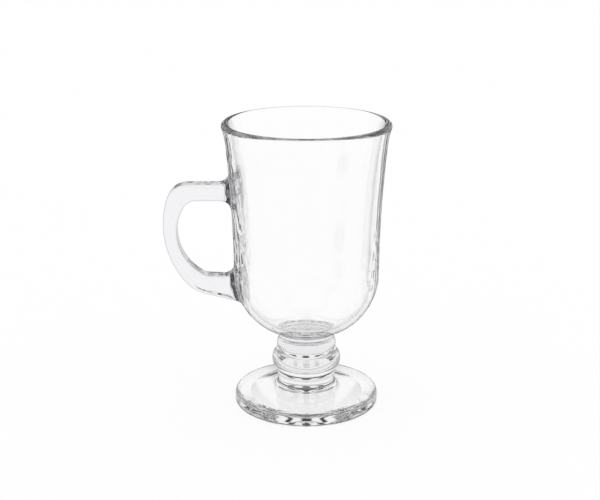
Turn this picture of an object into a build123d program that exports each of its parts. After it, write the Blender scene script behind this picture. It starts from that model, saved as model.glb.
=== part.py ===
from build123d import *
import os
from math import asin, cos, degrees, hypot, radians, sin, sqrt, tan

os.makedirs("parts", exist_ok=True)

# Sizes in mm, angles in degrees. Z rises from the plane the foot stands on, along the turning axis
# of bowl, stem and foot. The handle lies in the XZ plane and points to -X.

# Whole mug
HEIGHT = 136.0
BELLY_DIAMETER = 68.0
FOOT_DIAMETER = 68.0

# Bowl, outside
SHOULDER_INSET = 4.0  # the round underside's centre, from the axis
WALL_FLARE = 3.1  # the wall's radius where the lip starts, over the belly's
LIP_HEIGHT = 11.0  # the turned-out lip, below the rim
LIP_BEND = 43.7
BOSS_BAND = 1.7  # upright side of the boss under the bowl
BOSS_FILLET = 2.5  # from the boss into the underside

# Bowl, glass thickness and inside
RIM_THICKNESS = 3.4
BELLY_THICKNESS = 4.4
BOTTOM_THICKNESS = 4.9  # from the boss's face to the middle of the inside
CORNER_INSET = 5.6  # the inner corner's centre, from the axis
DISH_RADIUS = 50.0  # shallow middle of the inside bottom

# Stem: beads that meet on discs of one radius, between the foot's boss and the bowl's boss
STEM_RADIUS = 13.2
LOWER_COLLAR_HEIGHT = 2.4
LOWER_COLLAR_SWELL = 0.6
KNOP_HEIGHT = 11.0
KNOP_SWELL = 3.0
UPPER_COLLAR_HEIGHT = 4.8
UPPER_COLLAR_SWELL = 0.8

# Foot
FOOT_EDGE = 6.4  # height of the upright edge
FOOT_SLOPE = 8.0  # rise of the top
FOOT_TOP_ROUND = 2.2
FOOT_BOTTOM_ROUND = 1.6
FOOT_BOSS_FILLET = 2.8
FOOT_BOSS_BAND = 2.1  # upright side of the boss above its fillet
BEARING_WIDTH = 6.4  # ring the mug stands on, inwards from the bottom round
HOLLOW_DEPTH = 2.5
HOLLOW_ROUND = 0.6

# Handle: each side of the strap's outline is a level top arm, three bends and a falling lower arm
HANDLE_DROP = 28.7  # top of the strap below the rim
HANDLE_THICKNESS = 7.8  # of the top arm
HANDLE_WIDTH = 11.0
HANDLE_ROUND = 2.4  # along the strap's long edges
HEEL_LEVEL = 22.5  # end of the outer side's last bend, above the bowl's boss
HEEL_THICKNESS = 8.8  # from there up to the end of the inner side's last bend
OUTER_ARM = 20.6  # from the belly's radius to the first bend
OUTER_UPPER_BEND = 10.4
OUTER_UPPER_TURN = 73.0
OUTER_LOWER_BEND = 17.8
OUTER_LOWER_TURN = 37.0
OUTER_FALL = 13.5  # of the lower arm, towards the bowl
INNER_ARM = 16.8
INNER_UPPER_BEND = 6.7
INNER_UPPER_TURN = 58.0
INNER_LOWER_BEND = 7.1
INNER_LOWER_TURN = 27.0
INNER_FALL = 2.5
LAND_FILLET = 5.0
LAND_BITE = 0.05  # the flare runs out this far under the bowl's skin, so its edge is a clean line

# Levels of the stem's weld discs
belly_radius = BELLY_DIAMETER / 2
foot_radius = FOOT_DIAMETER / 2
slope_top = FOOT_EDGE + (foot_radius - STEM_RADIUS) * tan(radians(FOOT_SLOPE))
boss_rise = FOOT_BOSS_FILLET * tan(radians((90 - FOOT_SLOPE) / 2)) + FOOT_BOSS_BAND
lower_collar_z = slope_top + boss_rise
knop_z = lower_collar_z + LOWER_COLLAR_HEIGHT
upper_collar_z = knop_z + KNOP_HEIGHT
bowl_z = upper_collar_z + UPPER_COLLAR_HEIGHT

# Underside: an arc up to the belly, met by a fillet that touches the boss's side
shoulder_radius = belly_radius - SHOULDER_INSET
fillet_r = STEM_RADIUS + BOSS_FILLET
fillet_z = bowl_z + BOSS_BAND
fillet_reach = shoulder_radius + BOSS_FILLET
fillet_turn = degrees(asin((fillet_r - SHOULDER_INSET) / fillet_reach))
belly_z = fillet_z + sqrt(fillet_reach**2 - (fillet_r - SHOULDER_INSET) ** 2)

# Wall outside: one long bow, upright at the belly
lip_z = HEIGHT - LIP_HEIGHT
wall_rise = lip_z - belly_z
wall_bow = (wall_rise**2 + WALL_FLARE**2) / (2 * WALL_FLARE)
wall_lean = asin(wall_rise / wall_bow)

# Lip: arcs about one centre, tangent to the wall, that end in a half-round rim
half_rim = RIM_THICKNESS / 2
lip_r = belly_radius + WALL_FLARE + LIP_BEND * cos(wall_lean)
lip_center = (lip_r, lip_z - LIP_BEND * sin(wall_lean))
lip_lean = asin((HEIGHT - half_rim - lip_center[1]) / (LIP_BEND + half_rim))
rim_center = (lip_r - (LIP_BEND + half_rim) * cos(lip_lean), HEIGHT - half_rim)
inner_bend = LIP_BEND + RIM_THICKNESS

# Bottom inside: a corner arc tangent to a shallow dish centred on the axis
inner_belly_radius = belly_radius - BELLY_THICKNESS
corner_radius = inner_belly_radius - CORNER_INSET
dish_gap = DISH_RADIUS - corner_radius
dish_turn = degrees(asin(CORNER_INSET / dish_gap))
dish_center_z = bowl_z + BOTTOM_THICKNESS + DISH_RADIUS
inner_belly_z = dish_center_z - sqrt(dish_gap**2 - CORNER_INSET**2)

# Wall inside: a bow upright at the inner belly and tangent to the lip's inner arc
bow_dr = inner_belly_radius - lip_r
bow_dz = lip_center[1] - inner_belly_z
inner_bow = (bow_dr**2 + bow_dz**2 - inner_bend**2) / (-2 * (bow_dr + inner_bend))
inner_lean = asin(bow_dz / (inner_bow - inner_bend))

# Handle: levels of its outer and inner sides at the top arm and at the heel
outer_z = HEIGHT - HANDLE_DROP
inner_z = outer_z - HANDLE_THICKNESS
outer_heel_z = bowl_z + HEEL_LEVEL
inner_heel_z = outer_heel_z + HEEL_THICKNESS


def turned(outline):
    """Solid of revolution about the mug's axis, from an outline of radius and height."""
    with BuildPart() as part:
        with BuildSketch(Plane.XZ):
            with BuildLine():
                for edge in outline:
                    add(edge)
            make_face()
        revolve(axis=Axis.Z)
    return part.part


def bead(bottom, height, out):
    """Ring of the stem: an arc that swells out between two weld discs."""
    top = bottom + height
    low = (STEM_RADIUS, bottom)
    high = (STEM_RADIUS, top)
    side = ThreePointArc(low, (STEM_RADIUS + out, bottom + height / 2), high)
    return turned([side, Polyline(high, (0, top), (0, bottom), low)])


def skin(depth=0.0):
    """Outside of the bowl from its boss to where the lip starts, or a line that depth under it."""
    wall_turn = degrees(asin(wall_rise / (wall_bow + depth)))
    foot_line = Line((STEM_RADIUS - depth, bowl_z), (STEM_RADIUS - depth, fillet_z))
    root = CenterArc((fillet_r, fillet_z), BOSS_FILLET + depth, 180, fillet_turn - 90)
    under = CenterArc((SHOULDER_INSET, belly_z), shoulder_radius - depth, fillet_turn - 90, 90 - fillet_turn)
    wall = CenterArc((belly_radius + wall_bow, belly_z), wall_bow + depth, 180, -wall_turn)
    return [foot_line, root, under, wall]


def filled(depth=0.0):
    """The bowl's outside below the lip as a body with no inside."""
    side = skin(depth)
    lid = Polyline(side[-1] @ 1, (0, lip_z), (0, bowl_z), side[0] @ 0)
    return turned([*side, lid])


def strap_side(level, heel, arm, upper_bend, upper_turn, lower_bend, lower_turn, fall):
    """One side of the strap, from the axis and back to it; the back's bend closes the height left over."""
    lower_start = 180 - fall - lower_turn
    upper_drop = upper_bend * (1 - cos(radians(upper_turn)))
    lower_drop = lower_bend * (cos(radians(lower_start)) + cos(radians(fall)))
    back_drop = level - heel - upper_drop - lower_drop
    back_bend = back_drop / (cos(radians(upper_turn)) - cos(radians(lower_start)))
    top_arm = Line((0, level), (-belly_radius - arm, level))
    upper = JernArc(top_arm @ 1, top_arm % 1, upper_bend, upper_turn)
    back = JernArc(upper @ 1, upper % 1, back_bend, lower_start - upper_turn)
    lower = JernArc(back @ 1, back % 1, lower_bend, lower_turn)
    low_arm = Line(lower @ 1, (0, heel + (lower @ 1).X * tan(radians(fall))))
    return [top_arm, upper, back, lower, low_arm]


def ring_edges(solid, radius, height):
    rings = solid.edges().filter_by(GeomType.CIRCLE)
    return rings.filter_by(lambda e: hypot(e.radius - radius, e.center().Z - height) < 0.01)


# Bowl, up its outside, over the rim and down its inside
wall_at = 180 - degrees(wall_lean)
inner_at = 180 - degrees(inner_lean)
rim_at = 180 - degrees(lip_lean)
bowl = turned(
    [
        *skin(),
        CenterArc(lip_center, LIP_BEND, wall_at, rim_at - wall_at),
        CenterArc(rim_center, half_rim, rim_at - 180, 180),
        CenterArc(lip_center, inner_bend, rim_at, inner_at - rim_at),
        CenterArc((inner_belly_radius + inner_bow, inner_belly_z), inner_bow, inner_at, 180 - inner_at),
        CenterArc((CORNER_INSET, inner_belly_z), corner_radius, 0, dish_turn - 90),
        CenterArc((0, dish_center_z), DISH_RADIUS, dish_turn - 90, -dish_turn),
        Polyline((0, bowl_z + BOTTOM_THICKNESS), (0, bowl_z), (STEM_RADIUS, bowl_z)),
    ]
)

# Stem
lower_collar = bead(lower_collar_z, LOWER_COLLAR_HEIGHT, LOWER_COLLAR_SWELL)
knop = bead(knop_z, KNOP_HEIGHT, KNOP_SWELL)
upper_collar = bead(upper_collar_z, UPPER_COLLAR_HEIGHT, UPPER_COLLAR_SWELL)

# Foot, hollow underneath, with its edges rounded after turning
bearing_radius = foot_radius - FOOT_BOTTOM_ROUND - BEARING_WIDTH
hollow_bow = (bearing_radius**2 + HOLLOW_DEPTH**2) / (2 * HOLLOW_DEPTH)
foot = turned(
    [
        RadiusArc((0, HOLLOW_DEPTH), (bearing_radius, 0), hollow_bow),
        Polyline((bearing_radius, 0), (foot_radius, 0), (foot_radius, FOOT_EDGE), (STEM_RADIUS, slope_top)),
        Line((STEM_RADIUS, slope_top), (STEM_RADIUS, lower_collar_z)),
        Polyline((STEM_RADIUS, lower_collar_z), (0, lower_collar_z), (0, HOLLOW_DEPTH)),
    ]
)
foot = fillet(ring_edges(foot, foot_radius, FOOT_EDGE), FOOT_TOP_ROUND)
foot = fillet(ring_edges(foot, foot_radius, 0), FOOT_BOTTOM_ROUND)
foot = fillet(ring_edges(foot, STEM_RADIUS, slope_top), FOOT_BOSS_FILLET)
foot = fillet(ring_edges(foot, bearing_radius, 0), HOLLOW_ROUND)

# Handle: a strap from the axis and back to it, flared onto the bowl and trimmed by the bowl's outside
outer_side = strap_side(
    outer_z,
    outer_heel_z,
    OUTER_ARM,
    OUTER_UPPER_BEND,
    OUTER_UPPER_TURN,
    OUTER_LOWER_BEND,
    OUTER_LOWER_TURN,
    OUTER_FALL,
)
inner_side = strap_side(
    inner_z,
    inner_heel_z,
    INNER_ARM,
    INNER_UPPER_BEND,
    INNER_UPPER_TURN,
    INNER_LOWER_BEND,
    INNER_LOWER_TURN,
    INNER_FALL,
)
with BuildPart() as strap:
    with BuildSketch(Plane.XZ):
        with BuildLine():
            for edge in (*outer_side, *inner_side):
                add(edge)
            Line(outer_side[0] @ 0, inner_side[0] @ 0)
            Line(outer_side[-1] @ 1, inner_side[-1] @ 1)
        make_face()
    extrude(amount=HANDLE_WIDTH / 2, both=True)
    cut_faces = strap.faces().filter_by(Axis.Y)
    fillet(cut_faces.edges().filter_by(lambda e: e.center().X < -belly_radius / 2), HANDLE_ROUND)
bedding = filled(LAND_BITE)
land_edges = new_edges(bedding, strap.part, combined=bedding + strap.part)
handle = fillet(land_edges, LAND_FILLET) - filled()

for name, piece in (
    ("bowl", bowl),
    ("upper_collar", upper_collar),
    ("knop", knop),
    ("lower_collar", lower_collar),
    ("foot", foot),
    ("handle", handle),
):
    export_step(piece, f"parts/{name}.step")
    volume = round(piece.volume / 1000, 2)
    print(name, piece.is_valid, len(piece.solids()), volume, "cm3", piece.bounding_box())
print("back bends", [round(side[2].radius, 2) for side in (outer_side, inner_side)])
print("rim diameter", round(2 * (rim_center[0] + half_rim), 3))
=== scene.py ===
from math import asin, cos, pi, radians, sin, sqrt, tan

import bpy
import numpy as np
from bpy.props import FloatProperty, IntProperty, PointerProperty, StringProperty
from bpy.types import NodeSocket, Operator, Panel, PropertyGroup
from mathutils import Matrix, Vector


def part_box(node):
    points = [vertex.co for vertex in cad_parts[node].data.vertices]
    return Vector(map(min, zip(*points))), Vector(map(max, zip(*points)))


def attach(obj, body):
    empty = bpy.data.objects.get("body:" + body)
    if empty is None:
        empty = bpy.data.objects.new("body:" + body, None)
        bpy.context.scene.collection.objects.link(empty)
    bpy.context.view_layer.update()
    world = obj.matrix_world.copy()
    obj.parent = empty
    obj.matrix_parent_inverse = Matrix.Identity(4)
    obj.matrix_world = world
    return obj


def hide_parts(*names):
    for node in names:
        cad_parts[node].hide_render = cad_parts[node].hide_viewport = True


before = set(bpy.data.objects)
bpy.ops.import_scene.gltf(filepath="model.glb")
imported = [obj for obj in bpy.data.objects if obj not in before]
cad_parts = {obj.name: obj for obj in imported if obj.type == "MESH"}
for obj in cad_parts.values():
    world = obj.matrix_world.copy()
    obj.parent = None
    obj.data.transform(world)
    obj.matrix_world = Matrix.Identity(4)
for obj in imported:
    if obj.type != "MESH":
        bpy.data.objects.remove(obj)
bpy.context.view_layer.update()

bl_info = {
    "name": "Irish Coffee Mug",
    "version": (1, 0, 0),
    "blender": (4, 5, 0),
    "location": "View3D > Sidebar > Mug",
    "description": "Turns a footed glass mug with a strap handle around its packed frame",
    "category": "Add Mesh",
}

MM = 0.001
BODY = "root"


def length(name, description, millimetres):
    """A size that is shown as a length."""
    return FloatProperty(name=name, description=description, default=millimetres * MM, unit="LENGTH", precision=5)


def angle(name, description, degrees):
    """A size that is shown as an angle."""
    return FloatProperty(name=name, description=description, default=radians(degrees), subtype="ANGLE")


class BowlSizes(PropertyGroup):
    """Sizes of the bowl that its packed box doesn't give."""

    belly_radius: length("Belly radius", "Outside radius where the wall stands upright", 34.0)
    shoulder_inset: length("Shoulder inset", "Centre of the round underside, from the axis", 4.0)
    wall_flare: length("Wall flare", "Wall radius where the lip starts, over the belly's", 3.1)
    lip_height: length("Lip height", "Turned-out lip, below the rim", 11.0)
    lip_bend: length("Lip bend", "Radius that the lip turns out on", 43.7)
    boss_band: length("Boss band", "Upright side of the boss under the bowl", 1.7)
    boss_fillet: length("Boss fillet", "From the boss into the underside", 2.5)
    rim_thickness: length("Rim thickness", "Glass at the rounded rim", 3.4)
    belly_thickness: length("Belly thickness", "Glass at the belly", 4.4)
    bottom_thickness: length("Bottom thickness", "From the boss's face to the middle of the inside", 4.9)
    corner_inset: length("Corner inset", "Centre of the inner corner, from the axis", 5.6)
    dish_radius: length("Dish radius", "Shallow middle of the inside bottom", 50.0)
    columns: IntProperty(name="Columns", description="Faces round the bowl", default=256, min=64)


class StemSizes(PropertyGroup):
    """Sizes of the stem's beads and of the foot."""

    radius: length("Stem radius", "Radius of the fused discs between the beads", 13.2)
    columns: IntProperty(name="Columns", description="Faces round the stem and foot", default=192, min=48)
    foot_edge: length("Foot edge", "Height of the foot's upright edge", 6.4)
    foot_slope: angle("Foot slope", "Rise of the foot's top", 8.0)
    top_round: length("Top round", "Round on the foot's upper edge", 2.2)
    bottom_round: length("Bottom round", "Round on the foot's lower edge", 1.6)
    boss_fillet: length("Boss fillet", "From the foot's top into its boss", 2.8)
    bearing_width: length("Bearing width", "Ring that the mug stands on", 6.4)
    hollow_depth: length("Hollow depth", "Shallow hollow under the foot", 2.5)
    hollow_round: length("Hollow round", "Round on the hollow's edge", 0.6)


class HandleSizes(PropertyGroup):
    """Sizes of the strap handle and its flared lands."""

    drop: length("Drop", "Top of the strap below the rim", 28.7)
    thickness: length("Thickness", "Strap at the top arm, in the plane of the handle", 7.8)
    width: length("Width", "Strap across the handle", 11.0)
    edge_round: length("Edge round", "Round along the strap's four edges", 2.4)
    heel_level: length("Heel level", "End of the outer side's last bend above the bowl's boss", 22.5)
    heel_thickness: length("Heel thickness", "From there up to the end of the inner side's last bend", 8.8)
    outer_arm: length("Outer arm", "Outer side from the belly's radius to its first bend", 20.6)
    outer_upper_bend: length("Outer upper bend", "Radius of the outer side's first bend", 10.4)
    outer_upper_turn: angle("Outer upper turn", "Turn of the outer side's first bend", 73.0)
    outer_lower_bend: length("Outer lower bend", "Radius of the outer side's last bend", 17.8)
    outer_lower_turn: angle("Outer lower turn", "Turn of the outer side's last bend", 37.0)
    outer_fall: angle("Outer fall", "Fall of the outer side towards the bowl", 13.5)
    inner_arm: length("Inner arm", "Inner side from the belly's radius to its first bend", 16.8)
    inner_upper_bend: length("Inner upper bend", "Radius of the inner side's first bend", 6.7)
    inner_upper_turn: angle("Inner upper turn", "Turn of the inner side's first bend", 58.0)
    inner_lower_bend: length("Inner lower bend", "Radius of the inner side's last bend", 7.1)
    inner_lower_turn: angle("Inner lower turn", "Turn of the inner side's last bend", 27.0)
    inner_fall: angle("Inner fall", "Fall of the inner side towards the bowl", 2.5)
    land_fillet: length("Land fillet", "Ball that rolls in the corner between strap and bowl", 5.0)


class MugLook(PropertyGroup):
    """Colours of the glass and of the stage."""

    glass: StringProperty(name="Glass", description="Tint of the skin straight on, sRGB hex", default="FFFFFF")
    strap: StringProperty(name="Strap", description="The same for the handle, sRGB hex", default="F5F5F7")
    # Edge: painted shade, the dark that the skin's base colour is painted towards edge-on
    edge: StringProperty(name="Edge", description="Tint of the skin edge-on, sRGB hex", default="404044")
    body: StringProperty(name="Body", description="Tint that thick glass takes on, sRGB hex", default="E0E0E4")
    density: FloatProperty(name="Density", description="Strength of body tint, per metre", default=6.0, min=0.0)
    floor: StringProperty(name="Floor", description="Floor colour, sRGB hex", default="FBFBFB")


def linear(code):
    """An sRGB hex colour as linear red, green and blue, with full alpha."""
    raw = np.array([int(code[i : i + 2], 16) for i in (0, 2, 4)]) / 255.0
    rgb = np.where(raw <= 0.04045, raw / 12.92, ((raw + 0.055) / 1.055) ** 2.4)
    return (*rgb.tolist(), 1.0)


def put(tree, kind, inputs=(), **settings):
    """Adds a node, applies its settings, and for each input links a socket or sets a value."""
    made = tree.nodes.new(kind)
    for name, value in settings.items():
        setattr(made, name, value)
    for name, value in dict(inputs).items():
        if isinstance(value, NodeSocket):
            tree.links.new(value, made.inputs[name])
        else:
            made.inputs[name].default_value = value
    return made


def new_material(name):
    """A new, empty node material and its tree, or the material that has this name and no tree."""
    found = bpy.data.materials.get(name)
    if found is not None:
        return found, None
    made = bpy.data.materials.new(name)
    made.use_nodes = True
    made.node_tree.nodes.clear()
    return made, made.node_tree


GLASS_IOR = 1.52
# Slants, from 0 straight on to 1 edge-on, where the skin of the pressed glass and of the strap starts to darken:
# painted shade, its base colour painted darker towards the outline
PRESSED_SHADE_SLANT, STRAP_SHADE_SLANT = 0.64, 0.3
# Waves of the mould and wrinkles, in mm: a wrinkle is drawn out upwards, as its height's scale says
WAVE, WAVE_DEPTH = 22, 0.2
WRINKLE, WRINKLE_SCALE = 2.5, 0.5
# Spots with wrinkles: place in mm, part of the height that counts in the distance from it, depth in mm. The depth
# holds out to the first distance in mm and is gone at the second
WRINKLE_SPOTS = (((-35, 0, 76), 0.3, 0.4), ((33, 0, 58), 0.6, 0.2))
WRINKLE_FADE = (8, 22)


def soda_lime(name, tint, shade_slant):
    """Clear soda-lime glass: smooth, faintly grey where it is thick, with slow waves left by the mould, wrinkled
    streaks down its sides, and a skin whose colour is painted from its tint to dark between a slant and edge-on:
    painted shade for the dark outlines of glass."""
    material, tree = new_material(name)
    if tree is None:
        return material
    place = put(tree, "ShaderNodeTexCoord").outputs["Object"]
    # Waves of the mould, over the whole mug
    slow = put(tree, "ShaderNodeTexNoise", {"Vector": place, "Scale": 1 / (WAVE * MM), "Detail": 1.0})
    waves = put(
        tree, "ShaderNodeBump", {"Height": slow.outputs["Fac"], "Strength": 1.0, "Distance": WAVE_DEPTH * MM}
    )
    # Wrinkles: deepest on the bowl's side between the handle's lands, where the hot handle was stuck on, and
    # again low on the other side
    drawn = put(tree, "ShaderNodeVectorMath", {0: place, 1: (1.0, 1.0, WRINKLE_SCALE)}, operation="MULTIPLY")
    fine = put(
        tree,
        "ShaderNodeTexNoise",
        {"Vector": drawn.outputs["Vector"], "Scale": 1 / (WRINKLE * MM), "Detail": 0.0},
    )
    depth = 0.0
    for (x, y, z), tall, deep in WRINKLE_SPOTS:
        reach = put(
            tree,
            "ShaderNodeVectorMath",
            {0: place, 1: (1.0, 1.0, tall), 2: (-x * MM, -y * MM, -z * tall * MM)},
            operation="MULTIPLY_ADD",
        )
        away = put(tree, "ShaderNodeVectorMath", {0: reach.outputs["Vector"]}, operation="LENGTH")
        near = put(
            tree,
            "ShaderNodeMapRange",
            {
                "Value": away.outputs["Value"],
                "From Min": WRINKLE_FADE[0] * MM,
                "From Max": WRINKLE_FADE[1] * MM,
                "To Min": deep * MM,
                "To Max": 0.0,
            },
        )
        most = put(tree, "ShaderNodeMath", {0: depth, 1: near.outputs["Result"]}, operation="MAXIMUM")
        depth = most.outputs["Value"]
    wrinkles = put(
        tree,
        "ShaderNodeBump",
        {
            "Height": fine.outputs["Fac"],
            "Strength": 1.0,
            "Distance": depth,
            "Normal": waves.outputs["Normal"],
        },
    )
    # Painted shade: the skin's base colour is painted darker towards the outline, where the eye looks along the
    #     # glass, in place of the dark that glass edges show from what is round them
    look = bpy.context.scene.mug_look
    facing = put(tree, "ShaderNodeLayerWeight", {"Blend": 0.5}).outputs["Facing"]
    edge = put(tree, "ShaderNodeMapRange", {"Value": facing, "From Min": shade_slant, "From Max": 1.0})
    skin = put(
        tree,
        "ShaderNodeMix",
        {"Factor": edge.outputs["Result"], "A": linear(tint), "B": linear(look.edge)},
        data_type="RGBA",
    )
    glass = put(
        tree,
        "ShaderNodeBsdfPrincipled",
        {
            "Base Color": skin.outputs["Result"],
            "Roughness": 0.0,
            "IOR": GLASS_IOR,
            "Transmission Weight": 1.0,
            "Normal": wrinkles.outputs["Normal"],
        },
    )
    body = put(tree, "ShaderNodeVolumeAbsorption", {"Color": linear(look.body), "Density": look.density})
    put(tree, "ShaderNodeOutputMaterial", {"Surface": glass.outputs["BSDF"], "Volume": body.outputs["Volume"]})
    return material


def pressed_glass():
    """Glass of the bowl, stem and foot, pressed hot and fire-polished: bright, colourless glass, with thin dark
    outlines that are painted shade on its skin."""
    return soda_lime("pressed_soda_lime_glass", bpy.context.scene.mug_look.glass, PRESSED_SHADE_SLANT)


def drawn_glass():
    """Glass of the handle: its tint is a shade more grey than the bowl's, and its skin is painted dark from a
    lower slant, a broader line of painted shade along the strap's round edges."""
    return soda_lime("drawn_soda_lime_glass", bpy.context.scene.mug_look.strap, STRAP_SHADE_SLANT)


def fused_join():
    """Face where two bodies of glass have run together: it gives the eye nothing, and lets light through."""
    material, tree = new_material("fused_join")
    if tree is None:
        return material
    clear = put(tree, "ShaderNodeBsdfPrincipled", {"Alpha": 0.0, "Roughness": 0.0})
    put(tree, "ShaderNodeOutputMaterial", {"Surface": clear.outputs["BSDF"]})
    return material


def arc(center, radius, start, stop, count):
    """Points on a circle at even angles from start to stop: center + radius (cos, sin)."""
    turn = np.linspace(start, stop, count)
    return np.column_stack([center[0] + radius * np.cos(turn), center[1] + radius * np.sin(turn)])


def line(start, stop, count=2):
    """Points at even steps on a straight line."""
    share = np.linspace(0.0, 1.0, count)[:, None]
    return (1 - share) * np.array(start) + share * np.array(stop)


def chain(*runs):
    """Runs of points end to end, where each run starts on the last point of the one before."""
    return np.concatenate([runs[0], *[run[1:] for run in runs[1:]]])


def turned(outline, columns):
    """Skin of revolution: the outline's point (r, z) at turn a is (r cos a, r sin a, z). Both ends of the outline
    lie on the axis and are one vertex each. Returns the vertices, their numbers by row and column, the quads by
    row and column, and the two fans."""
    turn = np.arange(columns) * 2 * pi / columns
    rows = outline[1:-1]
    rings = np.stack(
        [rows[:, :1] * np.cos(turn), rows[:, :1] * np.sin(turn), np.repeat(rows[:, 1:], columns, 1)], axis=2
    )
    vertices = np.concatenate([[[0, 0, outline[0, 1]]], rings.reshape(-1, 3), [[0, 0, outline[-1, 1]]]])
    index = 1 + np.arange(len(rows) * columns).reshape(len(rows), columns)
    beside = np.roll(index, -1, axis=1)
    quads = np.stack([index[:-1], beside[:-1], beside[1:], index[1:]], axis=2)
    low = np.stack([np.zeros_like(index[0]), beside[0], index[0]], axis=1)
    high = np.stack([index[-1], beside[-1], np.full_like(index[-1], len(vertices) - 1)], axis=1)
    return vertices, index, quads, low, high


def loft(rings):
    """Quads between rings of vertex numbers, given as an array of rings by points round."""
    beside = np.roll(rings, -1, axis=1)
    return np.stack([rings[:-1], beside[:-1], beside[1:], rings[1:]], axis=2).reshape(-1, 4)


# Edges of a piece that turn by more than this many degrees stay crisp
CRISP = 32


def glass_piece(name, node, glass, vertices, skin, joins):
    """One closed body of glass: skin and joins are lists of face arrays, the joins being the fused faces."""
    mesh = bpy.data.meshes.new(name)
    faces = [f for block in (*skin, *joins) for f in block.tolist()]
    fused = sum(len(block) for block in joins)
    mesh.from_pydata(vertices.tolist(), [], faces)
    mesh.materials.append(glass)
    mesh.materials.append(fused_join())
    slots = np.zeros(len(faces), dtype=np.int32)
    slots[len(faces) - fused :] = 1
    mesh.polygons.foreach_set("material_index", slots)
    mesh.polygons.foreach_set("use_smooth", np.ones(len(faces), dtype=bool))
    mesh.update()
    mesh.set_sharp_from_angle(angle=radians(CRISP))
    if mesh.validate():
        raise RuntimeError(name + " has faces that can't be drawn")
    piece = bpy.data.objects.new(name, mesh)
    bpy.context.scene.collection.objects.link(piece)
    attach(piece, BODY)
    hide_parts(node)


class BowlLines:
    """Half section of the bowl in radius and height, from its packed box and its sizes."""

    def __init__(self, sizes, stem_radius):
        low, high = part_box("bowl")
        self.base, self.top, self.stem_radius, self.sizes = low[2], high[2], stem_radius, sizes
        # Underside: an arc up to the belly, met by a fillet that touches the boss's side
        self.belly = sizes.belly_radius
        self.inset = sizes.shoulder_inset
        self.shoulder = self.belly - self.inset
        self.fillet_center = (stem_radius + sizes.boss_fillet, self.base + sizes.boss_band)
        reach = self.shoulder + sizes.boss_fillet
        across = self.fillet_center[0] - self.inset
        self.belly_z = self.fillet_center[1] + sqrt(reach**2 - across**2)
        self.under = pi / 2 - asin(across / reach)
        # Wall: one long bow, upright at the belly, up to the lip
        self.lip_z = self.top - sizes.lip_height
        rise = self.lip_z - self.belly_z
        self.bow = (rise**2 + sizes.wall_flare**2) / (2 * sizes.wall_flare)
        self.lean = asin(rise / self.bow)
        self.under_length = self.shoulder * self.under
        self.skin_length = self.under_length + self.bow * self.lean

    def skin(self, along):
        """Radius and height of the outside at a length along it from the boss fillet: first the round underside
        about (inset, belly height), then the wall's bow about a point far outside."""
        low = along / self.shoulder - self.under
        high = (along - self.under_length) / self.bow
        below = along < self.under_length
        radius = np.where(
            below, self.inset + self.shoulder * np.cos(low), self.belly + self.bow * (1 - np.cos(high))
        )
        height = self.belly_z + np.where(below, self.shoulder * np.sin(low), self.bow * np.sin(high))
        return radius, height

    def clearance(self, place):
        """Distance of places outside the bowl from its skin: to the round underside below the belly, and to the
        wall's bow above it."""
        radius, up = np.hypot(place[:, 0], place[:, 1]), place[:, 2] - self.belly_z
        low = np.hypot(radius - self.inset, up) - self.shoulder
        high = self.bow - np.hypot(radius - self.belly - self.bow, up)
        return np.where(up < 0, low, high)

    def nearest(self, place):
        """Turn about the axis and length along the skin of the skin's point nearest to places outside it."""
        radius, up = np.hypot(place[:, 0], place[:, 1]), place[:, 2] - self.belly_z
        low = self.shoulder * (np.arctan2(up, radius - self.inset) + self.under)
        high = self.under_length + self.bow * np.arctan2(up, self.belly + self.bow - radius)
        return np.arctan2(place[:, 1], place[:, 0]) % (2 * pi), np.where(up < 0, low, high)

    def point(self, turn, along):
        """The outside at a turn about the axis and a length along the half section."""
        radius, height = self.skin(along)
        return np.stack([radius * np.cos(turn), radius * np.sin(turn), height], axis=-1)

    def outline(self, skin_rows):
        """Closed half section from the middle of the boss, up the outside, over the rim and down the inside.
        Returns the points and the row where the skin starts."""
        s = self.sizes
        half = s.rim_thickness / 2
        lip = (self.belly + s.wall_flare + s.lip_bend * cos(self.lean), self.lip_z - s.lip_bend * sin(self.lean))
        lip_lean = asin((self.top - half - lip[1]) / (s.lip_bend + half))
        rim = (lip[0] - (s.lip_bend + half) * cos(lip_lean), self.top - half)
        inner_bend = s.lip_bend + s.rim_thickness
        inner = self.belly - s.belly_thickness
        corner = inner - s.corner_inset
        gap = s.dish_radius - corner
        dish_turn = asin(s.corner_inset / gap)
        dish_z = self.base + s.bottom_thickness + s.dish_radius
        inner_z = dish_z - sqrt(gap**2 - s.corner_inset**2)
        dr, dz = inner - lip[0], lip[1] - inner_z
        inner_bow = (dr**2 + dz**2 - inner_bend**2) / (-2 * (dr + inner_bend))
        inner_lean = asin(dz / (inner_bow - inner_bend))
        boss = chain(
            line((0, self.base), (self.stem_radius, self.base)),
            line((self.stem_radius, self.base), (self.stem_radius, self.fillet_center[1]), 4),
            arc(self.fillet_center, s.boss_fillet, pi, pi - self.under, 10),
        )
        skin = np.column_stack(self.skin(np.linspace(0, self.skin_length, skin_rows)))
        rest = chain(
            arc(lip, s.lip_bend, pi - self.lean, pi - lip_lean, 12),
            arc(rim, half, -lip_lean, pi - lip_lean, 25),
            arc(lip, inner_bend, pi - lip_lean, pi - inner_lean, 10),
            arc((inner + inner_bow, inner_z), inner_bow, pi - inner_lean, pi, 40),
            arc((s.corner_inset, inner_z), corner, 0, dish_turn - pi / 2, 36),
            arc((0, dish_z), s.dish_radius, dish_turn - pi / 2, -pi / 2, 12),
        )
        points = chain(boss, skin, rest)
        points[[0, -1], 0] = 0.0
        return points, len(boss) - 2


# Rows of the bowl's skin, and the window in its faces round each of the handle's lands
SKIN_ROWS = 81
WINDOW_ROWS = 24
WINDOW_COLUMNS = 30
# Rings from the window to the land and from there to its middle, and rings of the land's flare
LAND_STEPS = 6
FLARE_STEPS = 9
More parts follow.
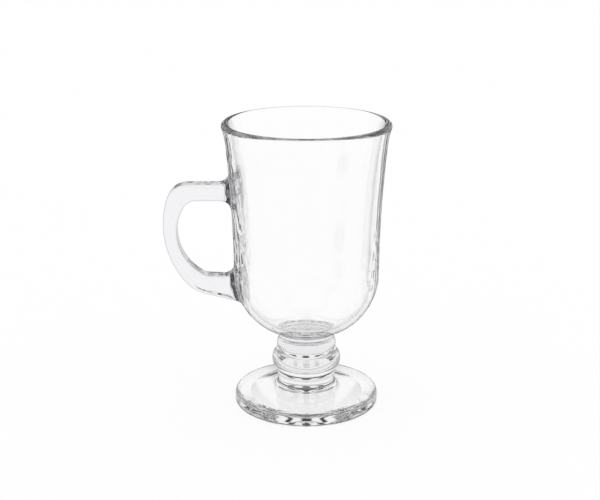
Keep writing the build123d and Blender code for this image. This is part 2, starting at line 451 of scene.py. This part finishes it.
# Halvings that find where the flare's ball touches the bowl, and steps round a land to choose its points from
HALVINGS = 44
LAND_SHARES = 4000
# Points on the strap's upper arm, its three bends and its lower arm
ARM_POINTS, BEND_POINTS, HEEL_POINTS = 8, (20, 44, 14), 5
# Where the flares of the upper and lower arm start: so many land fillets outside the belly
FLARE_STARTS = (2.2, 1.6)


def strap_side(belly, level, heel, arm, upper_bend, upper_turn, lower_bend, lower_turn, fall, near):
    """One side of the strap as points and headings: a level arm out from the bowl, three arcs and an arm that
    falls towards the bowl, where the middle arc's radius closes the height. near gives where the arms start and
    end."""
    lower_start = pi - fall - lower_turn
    drop = upper_bend * (1 - cos(upper_turn)) + lower_bend * (cos(lower_start) + cos(fall))
    back_bend = (level - heel - drop) / (cos(upper_turn) - cos(lower_start))
    runs, headings = [line((-near[0], level), (-belly - arm, level), ARM_POINTS)], [np.full(ARM_POINTS, pi)]
    bends = (upper_bend, back_bend, lower_bend)
    turns = (upper_turn, lower_start - upper_turn, lower_turn)
    for radius, turn, count in zip(bends, turns, BEND_POINTS):
        heading = headings[-1][-1]
        center = runs[-1][-1] + radius * np.array([-sin(heading), cos(heading)])
        runs.append(arc(center, radius, heading - pi / 2, heading + turn - pi / 2, count))
        headings.append(np.linspace(heading, heading + turn, count))
    end = runs[-1][-1]
    runs.append(line(end, (-near[1], end[1] - (-near[1] - end[0]) * tan(fall)), HEEL_POINTS))
    headings.append(np.full(HEEL_POINTS, 2 * pi - fall))
    return chain(*runs), np.concatenate([headings[0], *[h[1:] for h in headings[1:]]])


class HandleLines:
    """The two sides of the strap, its section between them and its lands."""

    def __init__(self, sizes, bowl):
        self.sizes, self.bowl = sizes, bowl
        near = [bowl.belly + fillets * sizes.land_fillet for fillets in FLARE_STARTS]
        level = bowl.top - sizes.drop
        heel = bowl.base + sizes.heel_level
        self.outer, outer_heading = strap_side(
            bowl.belly,
            level,
            heel,
            sizes.outer_arm,
            sizes.outer_upper_bend,
            sizes.outer_upper_turn,
            sizes.outer_lower_bend,
            sizes.outer_lower_turn,
            sizes.outer_fall,
            near,
        )
        self.inner, inner_heading = strap_side(
            bowl.belly,
            level - sizes.thickness,
            heel + sizes.heel_thickness,
            sizes.inner_arm,
            sizes.inner_upper_bend,
            sizes.inner_upper_turn,
            sizes.inner_lower_bend,
            sizes.inner_lower_turn,
            sizes.inner_fall,
            near,
        )
        self.heading = np.stack([outer_heading, inner_heading])

    def section(self, share, thick):
        """Rounded rectangle at shares of its way round, for each thickness: a quarter is a straight half side up
        the thickness, a corner and a straight half side across the width, and the others are its mirror images.
        Returns the place across the width, the place up the thickness, and the parts of the outward normal."""
        s = self.sizes
        corner = s.edge_round
        parts = np.array([s.thickness / 2 - corner, corner * pi / 2, s.width / 2 - corner])
        parts /= parts.sum()
        lap = (share % 1.0) * 4
        number = np.floor(lap).astype(int)
        t = lap - number
        t = np.where(number % 2 == 1, 1 - t, t)
        up = np.clip(t / parts[0], 0, 1)
        turn = np.clip((t - parts[0]) / parts[1], 0, 1) * pi / 2
        back = np.clip((t - parts[0] - parts[1]) / parts[2], 0, 1)
        sign_a = np.where((number == 1) | (number == 2), -1.0, 1.0)
        sign_b = np.where(number >= 2, -1.0, 1.0)
        a = (s.width / 2 - corner) * (1 - back) + corner * np.cos(turn)
        b = np.outer(thick / 2 - corner, up) + corner * np.sin(turn)
        return a * sign_a, b * sign_b, np.cos(turn) * sign_a, np.sin(turn) * sign_b

    def strap(self, share):
        """Rings of the strap: the section between each pair of points of the two sides, whose thickness is the
        part of their distance that lies across the strap."""
        across = self.outer - self.inner
        mean = self.heading.mean(0)
        thick = across[:, 0] * np.sin(mean) - across[:, 1] * np.cos(mean)
        a, b, _na, _nb = self.section(share, thick)
        way = 0.5 + b / thick[:, None]
        x, z = (self.inner[:, k, None] + across[:, k, None] * way for k in (0, 1))
        return np.stack([x, np.broadcast_to(a, x.shape), z], axis=2)

    def land(self, end, share):
        """Flare of one end: a ball of the land's fillet rolls along the strap into the bowl, and each ring is a
        step on its arc from the strap's normal to the bowl's. Returns rings from the strap to the bowl, and the
        turn and the length along the bowl's skin of the last ring."""
        ball = self.sizes.land_fillet
        rings = self.strap(share)
        start, before = (rings[0], rings[1]) if end == 0 else (rings[-1], rings[-2])
        go = start - before
        go /= np.linalg.norm(go, axis=1)[:, None]
        _a, _b, normal_a, normal_b = self.section(share, np.array([self.sizes.thickness]))
        heading = np.where(normal_b > 0, *self.heading[:, -end])
        out = np.column_stack([normal_b * np.sin(heading), normal_a, -normal_b * np.cos(heading)])
        out -= (out * go).sum(1)[:, None] * go
        out /= np.linalg.norm(out, axis=1)[:, None]
        low, high = np.zeros(len(share)), np.full(len(share), 3 * ball)
        for _ in range(HALVINGS):
            step = (low + high) / 2
            center = start + step[:, None] * go + ball * out
            clear = self.bowl.clearance(center) > ball
            low, high = np.where(clear, step, low), np.where(clear, high, step)
        turn, along = self.bowl.nearest(center)
        normal = (center - self.bowl.point(turn, along)) / ball
        swing = np.arccos(np.clip((out * normal).sum(1), -1, 1))[:, None]
        t = np.linspace(0, 1, FLARE_STEPS)[:, None, None]
        arcs = center - ball * (np.sin((1 - t) * swing) * out + np.sin(t * swing) * normal) / np.sin(swing)
        return arcs, turn, along


def window(index, bowl, along, turn, mirrored):
    """Loop of grid vertices round the land, as rows and columns of the skin's grid, starting at its lower left as
    the section runs: the loop goes round the same way as the strap's section does."""
    columns = index.shape[1]
    step = bowl.skin_length / (SKIN_ROWS - 1)
    row = int(round(along / step)) - WINDOW_ROWS // 2
    column = int(round(turn / (2 * pi) * columns)) - WINDOW_COLUMNS // 2
    low, high = np.zeros(WINDOW_COLUMNS, int), np.full(WINDOW_COLUMNS, WINDOW_ROWS)
    up, across = np.arange(WINDOW_ROWS), np.arange(WINDOW_COLUMNS)
    rows = np.concatenate([low, up, high, WINDOW_ROWS - up])
    lanes = np.concatenate([WINDOW_COLUMNS - across, 0 * up, across, 0 * up + WINDOW_COLUMNS])
    if mirrored:
        rows = WINDOW_ROWS - rows
    return row, column, rows + row, lanes + column


class Joinery:
    """The bowl and the handle share the rings where the lands run onto the bowl's skin."""

    def __init__(self, scene):
        self.bowl = BowlLines(scene.mug_bowl, scene.mug_stem.radius)
        self.handle = HandleLines(scene.mug_handle, self.bowl)
        self.outline, self.first = self.bowl.outline(SKIN_ROWS)
        self.columns = scene.mug_bowl.columns
        self.grid = turned(self.outline, self.columns)
        self.step = self.bowl.skin_length / (SKIN_ROWS - 1)
        dense = np.linspace(0, 1, LAND_SHARES + 1)[:-1]
        _rings, turn, along = self.handle.land(0, dense)
        middle = (turn.mean(), (along.min() + along.max()) / 2)
        radius = float(self.bowl.skin(np.array(middle[1]))[0])
        spots = window(self.grid[1], self.bowl, middle[1], middle[0], False)
        lanes = spots[3] * 2 * pi / self.columns
        rows = spots[2] * self.step
        wanted = np.unwrap(np.arctan2(rows - middle[1], (middle[0] - lanes) * radius))
        offered = np.unwrap(np.arctan2(along - middle[1], (middle[0] - turn) * radius))
        offered = np.concatenate([offered - 2 * pi, offered, offered + 2 * pi])
        shares = np.concatenate([dense - 1, dense, dense + 1])
        self.share = np.interp(wanted, offered, shares) % 1.0
        self.lands = []
        for end in (0, 1):
            rings, turn, along = self.handle.land(end, self.share)
            middle = (pi, (along.min() + along.max()) / 2)
            row, column, rows, lanes = window(self.grid[1], self.bowl, middle[1], middle[0], end == 1)
            self.lands.append((rings, turn, along, middle, row, column, rows, lanes))


class MUG_OT_bowl(Operator):
    """Turn the bowl and open its skin where the handle's lands are fused on"""

    bl_idname = "mug.bowl"
    bl_label = "Bowl"

    def execute(self, context):
        join = Joinery(context.scene)
        vertices, index, quads, low, high = join.grid
        keep = np.ones(quads.shape[:2], dtype=bool)
        blocks, skin, joins, count = [vertices], [], [low], len(vertices)
        for end, (_rings, turn, along, middle, row, column, rows, lanes) in enumerate(join.lands):
            keep[join.first + row : join.first + row + WINDOW_ROWS, column : column + WINDOW_COLUMNS] = False
            grid_turn, grid_along = lanes * 2 * pi / join.columns, rows * join.step
            t = np.linspace(0, 1, LAND_STEPS + 1)[1:, None]
            apron = join.bowl.point((1 - t) * grid_turn + t * turn, (1 - t) * grid_along + t * along)
            t = t[:-1]
            patch = join.bowl.point((1 - t) * turn + t * middle[0], (1 - t) * along + t * middle[1])
            rings = count + np.arange(2 * LAND_STEPS * len(turn) - len(turn)).reshape(-1, len(turn))
            blocks += [apron.reshape(-1, 3), patch.reshape(-1, 3), join.bowl.point(*middle)[None]]
            count += rings.size + 1
            border = index[join.first + rows, lanes]
            apron_faces = loft(np.vstack([border, rings[:LAND_STEPS]]))
            patch_faces = loft(rings[LAND_STEPS - 1 :])
            last = rings[-1]
            fan = np.stack([last, np.roll(last, -1), np.full_like(last, count - 1)], axis=1)
            turned_over = slice(None, None, -1) if end == 0 else slice(None)
            skin.append(apron_faces[:, turned_over])
            joins += [patch_faces[:, turned_over], fan[:, turned_over]]
        skin = [quads[keep], high, *skin]
        glass_piece("bowl_glass", "bowl", pressed_glass(), np.concatenate(blocks), skin, joins)
        return {"FINISHED"}


class MUG_OT_handle(Operator):
    """Carry the strap's section between its two sides and flare it onto the bowl"""

    bl_idname = "mug.handle"
    bl_label = "Handle"

    def execute(self, context):
        join = Joinery(context.scene)
        upper, lower = join.lands
        body = np.concatenate([upper[0][::-1], join.handle.strap(join.share), lower[0]])
        around = len(join.share)
        blocks, joins = [body.reshape(-1, 3)], []
        rings = np.arange(len(body) * around).reshape(-1, around)
        skin = loft(rings)[:, ::-1]
        count = rings.size
        for end, land in enumerate(join.lands):
            _rings, turn, along, middle = land[:4]
            t = np.linspace(0, 1, LAND_STEPS + 1)[1:-1, None]
            patch = join.bowl.point((1 - t) * turn + t * middle[0], (1 - t) * along + t * middle[1])
            inner = count + np.arange(patch.shape[0] * around).reshape(-1, around)
            blocks += [patch.reshape(-1, 3), join.bowl.point(*middle)[None]]
            count += inner.size + 1
            faces = loft(np.vstack([rings[0 if end == 0 else -1], inner]))
            last = inner[-1]
            fan = np.stack([last, np.roll(last, -1), np.full_like(last, count - 1)], axis=1)
            turned_over = slice(None) if end == 0 else slice(None, None, -1)
            joins += [faces[:, turned_over], fan[:, turned_over]]
        glass_piece("handle_glass", "handle", drawn_glass(), np.concatenate(blocks), [skin], joins)
        return {"FINISHED"}


class MUG_OT_stem(Operator):
    """Turn the three beads of the stem"""

    bl_idname = "mug.stem"
    bl_label = "Stem"

    def execute(self, context):
        sizes = context.scene.mug_stem
        for node, rows in (("upper_collar", 15), ("knop", 33), ("lower_collar", 11)):
            low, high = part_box(node)
            half = (high[2] - low[2]) / 2
            swell = high[0] - sizes.radius
            bend = (half**2 + swell**2) / (2 * swell)
            reach = asin(half / bend)
            outline = chain(
                line((0, low[2]), (sizes.radius, low[2])),
                arc((high[0] - bend, low[2] + half), bend, -reach, reach, rows),
                line((sizes.radius, high[2]), (0, high[2])),
            )
            vertices, _index, quads, bottom, top = turned(outline, sizes.columns)
            glass_piece(node + "_glass", node, pressed_glass(), vertices, [quads.reshape(-1, 4)], [bottom, top])
        return {"FINISHED"}


class MUG_OT_foot(Operator):
    """Turn the foot with its rounded edges, its boss and the hollow under it"""

    bl_idname = "mug.foot"
    bl_label = "Foot"

    def execute(self, context):
        sizes = context.scene.mug_stem
        low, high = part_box("foot")
        radius, boss_z, slope = high[0], high[2], sizes.foot_slope
        # Hollow: a shallow dome, rounded where it meets the bearing ring
        bearing = radius - sizes.bottom_round - sizes.bearing_width
        bow = (bearing**2 + sizes.hollow_depth**2) / (2 * sizes.hollow_depth)
        small = sizes.hollow_round
        reach = sqrt((bow + small) ** 2 - (bow - sizes.hollow_depth + small) ** 2)
        dome = asin(reach / (bow + small))
        # Top: a cone between the edge's round and the boss's fillet
        lift = sizes.top_round * tan(slope) - sizes.top_round / cos(slope)
        edge = (radius - sizes.top_round, sizes.foot_edge + lift)
        fillet_r = sizes.radius + sizes.boss_fillet
        cone = sizes.foot_edge + (radius - fillet_r) * tan(slope)
        fillet_z = cone + sizes.boss_fillet / cos(slope)
        rise = arc((fillet_r, fillet_z), sizes.boss_fillet, 1.5 * pi - slope, pi, 20)
        corner = arc(edge, sizes.top_round, 0, pi / 2 - slope, 14)
        outline = chain(
            arc((0, sizes.hollow_depth - bow), bow, pi / 2, pi / 2 - dome, 24),
            arc((reach, small), small, 1.5 * pi - dome, 1.5 * pi, 6),
            line((reach, low[2]), (radius - sizes.bottom_round, low[2]), 5),
            arc((radius - sizes.bottom_round, sizes.bottom_round), sizes.bottom_round, -pi / 2, 0, 12),
            line((radius, sizes.bottom_round), corner[0], 5),
            corner,
            line(corner[-1], rise[0], 12),
            rise,
            line(rise[-1], (sizes.radius, boss_z), 3),
            line((sizes.radius, boss_z), (0, boss_z)),
        )
        outline[0, 0] = 0.0
        vertices, _index, quads, bottom, top = turned(outline, sizes.columns)
        glass_piece("foot_glass", "foot", pressed_glass(), vertices, [bottom, quads.reshape(-1, 4)], [top])
        return {"FINISHED"}


# The set is white card with dark strips between. Each table gives its brightness by the turn in plan from its far
# side, in degrees, for light that the glass has thrown back once, twice and more often
ONCE_FLOOR = (
    (0, 1.0), (20, 1.0), (22, 0.02), (25, 0.02), (27, 1.0), (31, 1.0), (33, 0.02), (36, 0.02), (38, 1.0),
    (180, 1.0),
)
ONCE_WORLD = (
    (0, 0.02), (3, 0.02), (5, 1.0), (11, 1.0), (13, 0.02), (17, 0.02), (20, 1.0), (180, 1.0),
)
TWICE_FLOOR = (
    (0, 0.02), (34, 0.02), (44, 1.0), (76, 1.0), (80, 0.1), (100, 0.1), (104, 1.0), (166, 1.0), (172, 0.3),
    (180, 0.3),
)
TWICE_WORLD = (
    (0, 0.1), (3, 0.1), (5, 1.0), (14, 1.0), (16, 0.02), (26, 0.02), (28, 1.0), (32, 1.0), (34, 0.02), (38, 0.02),
    (46, 0.7), (90, 0.7), (105, 0.9), (109, 0.1), (131, 0.1), (135, 1.0), (180, 1.0),
)
OFTEN = (
    (0, 0.02), (20, 0.02), (24, 1.0), (32, 1.0), (36, 0.02), (42, 0.02), (50, 0.9), (58, 0.9), (62, 0.3),
    (76, 0.3), (80, 0.9), (100, 0.9), (104, 0.3), (120, 0.3), (124, 0.9), (140, 0.9), (144, 0.3), (156, 0.3),
    (160, 0.9), (180, 0.9),
)
# Share of the floor's look that is its own glow and not the light that falls on it, its reach from the axis in m
# and its gap under the mug in mm
FLOOR_GLOW, FLOOR_REACH, FLOOR_GAP = 0.9, 8.0, 0.1
# Camera: sensor and lens in mm, place in mm and degrees that it looks down
SENSOR, LENS = 36.0, 80.24
CAMERA_PLACE, CAMERA_DOWN = (-3.0, -597.2, 257.5), 16.99
# Light crosses many faces of glass before it leaves the mug
BOUNCES, CLEAR_BOUNCES = 32, 64


def set_light(tree, place, tables):
    """Brightness of the set at a place or in a direction, and the light path that it depends on: plain white for
    light straight from the set, and the tables' strips for light thrown back in the glass."""
    path = put(tree, "ShaderNodeLightPath")
    flat = put(tree, "ShaderNodeVectorMath", {0: place, 1: (1.0, 1.0, 0.0)}, operation="MULTIPLY")
    way = put(tree, "ShaderNodeVectorMath", {0: flat.outputs["Vector"]}, operation="NORMALIZE")
    parts = put(tree, "ShaderNodeSeparateXYZ", {"Vector": way.outputs["Vector"]})
    turn = put(tree, "ShaderNodeMath", {0: parts.outputs["Y"]}, operation="ARCCOSINE")
    share = put(tree, "ShaderNodeMath", {0: turn.outputs["Value"], 1: pi}, operation="DIVIDE")
    levels = []
    for stops in tables:
        ramp = put(tree, "ShaderNodeValToRGB", {"Fac": share.outputs["Value"]})
        marks = ramp.color_ramp.elements
        marks.remove(marks[1])
        for degrees, level in stops:
            mark = marks[0] if degrees == 0 else marks.new(degrees / 180)
            mark.position, mark.color = degrees / 180, (level, level, level, 1.0)
        levels.append(ramp.outputs["Color"])
    light = linear("FFFFFF")
    for times, level in enumerate(levels):
        passed = put(
            tree, "ShaderNodeMath", {0: path.outputs["Glossy Depth"], 1: times + 0.5}, operation="GREATER_THAN"
        )
        mix = put(
            tree, "ShaderNodeMix", {"Factor": passed.outputs["Value"], "A": light, "B": level}, data_type="RGBA"
        )
        light = mix.outputs["Result"]
    return light, path


class MUG_OT_stage(Operator):
    """Set the white floor, the light of the set round the mug and the camera"""

    bl_idname = "mug.stage"
    bl_label = "Stage"

    def execute(self, context):
        scene, look = context.scene, context.scene.mug_look
        # Floor: matt white that keeps the mug's shadow, with a glow that makes it the picture's background
        floor_mesh = bpy.data.meshes.new("floor")
        half, under = FLOOR_REACH, -FLOOR_GAP * MM
        corners = [(-half, -half, under), (half, -half, under), (half, half, under), (-half, half, under)]
        floor_mesh.from_pydata(corners, [], [(0, 1, 2, 3)])
        white, tree = new_material("white_floor")
        place = put(tree, "ShaderNodeTexCoord").outputs["Object"]
        light, path = set_light(tree, place, (ONCE_FLOOR, TWICE_FLOOR, OFTEN))
        seen = path.outputs["Is Camera Ray"]
        for kind in ("Is Glossy Ray", "Is Transmission Ray"):
            most = put(tree, "ShaderNodeMath", {0: seen, 1: path.outputs[kind]}, operation="MAXIMUM")
            seen = most.outputs["Value"]
        part = put(tree, "ShaderNodeMath", {0: seen, 1: FLOOR_GLOW}, operation="MULTIPLY")
        matt = put(tree, "ShaderNodeBsdfDiffuse", {"Color": linear(look.floor)})
        glow = put(tree, "ShaderNodeEmission", {"Color": light, "Strength": 1.0})
        both = put(
            tree,
            "ShaderNodeMixShader",
            {0: part.outputs["Value"], 1: matt.outputs["BSDF"], 2: glow.outputs["Emission"]},
        )
        put(tree, "ShaderNodeOutputMaterial", {"Surface": both.outputs["Shader"]})
        floor_mesh.materials.append(white)
        floor = bpy.data.objects.new("floor", floor_mesh)
        scene.collection.objects.link(floor)
        # White light from all round, at a plain level
        world = bpy.data.worlds.new("white_set")
        scene.world = world
        world.use_nodes = True
        tree = world.node_tree
        tree.nodes.clear()
        way = put(tree, "ShaderNodeTexCoord").outputs["Generated"]
        light, _path = set_light(tree, way, (ONCE_WORLD, TWICE_WORLD, OFTEN))
        back = put(tree, "ShaderNodeBackground", {"Color": light, "Strength": 1.0})
        put(tree, "ShaderNodeOutputWorld", {"Surface": back.outputs["Background"]})
        # Camera in front, a little above the rim
        camera = bpy.data.cameras.new("camera")
        camera.sensor_width, camera.lens = SENSOR, LENS
        viewer = bpy.data.objects.new("camera", camera)
        viewer.location = [along * MM for along in CAMERA_PLACE]
        viewer.rotation_euler = (radians(90 - CAMERA_DOWN), 0, 0)
        scene.collection.objects.link(viewer)
        scene.camera = viewer
        scene.view_settings.view_transform = "Standard"
        scene.cycles.max_bounces = BOUNCES
        scene.cycles.transmission_bounces = BOUNCES
        scene.cycles.glossy_bounces = BOUNCES
        scene.cycles.transparent_max_bounces = CLEAR_BOUNCES
        return {"FINISHED"}


class MUG_PT_panel(Panel):
    """Lists the mug's pieces and sizes"""

    bl_label = "Irish Coffee Mug"
    bl_idname = "MUG_PT_panel"
    bl_space_type = "VIEW_3D"
    bl_region_type = "UI"
    bl_category = "Mug"

    def draw(self, context):
        for operator in OPERATORS:
            self.layout.operator(operator.bl_idname)
        for name in GROUPS:
            group = getattr(context.scene, name)
            for key in group.bl_rna.properties.keys():
                if key not in {"rna_type", "name"}:
                    self.layout.prop(group, key)


GROUPS = {"mug_bowl": BowlSizes, "mug_stem": StemSizes, "mug_handle": HandleSizes, "mug_look": MugLook}
OPERATORS = (MUG_OT_bowl, MUG_OT_stem, MUG_OT_foot, MUG_OT_handle, MUG_OT_stage)


def register():
    for kind in (*GROUPS.values(), *OPERATORS, MUG_PT_panel):
        bpy.utils.register_class(kind)
    for name, group in GROUPS.items():
        setattr(bpy.types.Scene, name, PointerProperty(type=group))


def unregister():
    for name in GROUPS:
        delattr(bpy.types.Scene, name)
    for kind in (MUG_PT_panel, *OPERATORS, *GROUPS.values()):
        bpy.utils.unregister_class(kind)


def main():
    register()
    bpy.ops.mug.bowl()
    bpy.ops.mug.stem()
    bpy.ops.mug.foot()
    bpy.ops.mug.handle()
    bpy.ops.mug.stage()


if __name__ == "__main__":
    main()
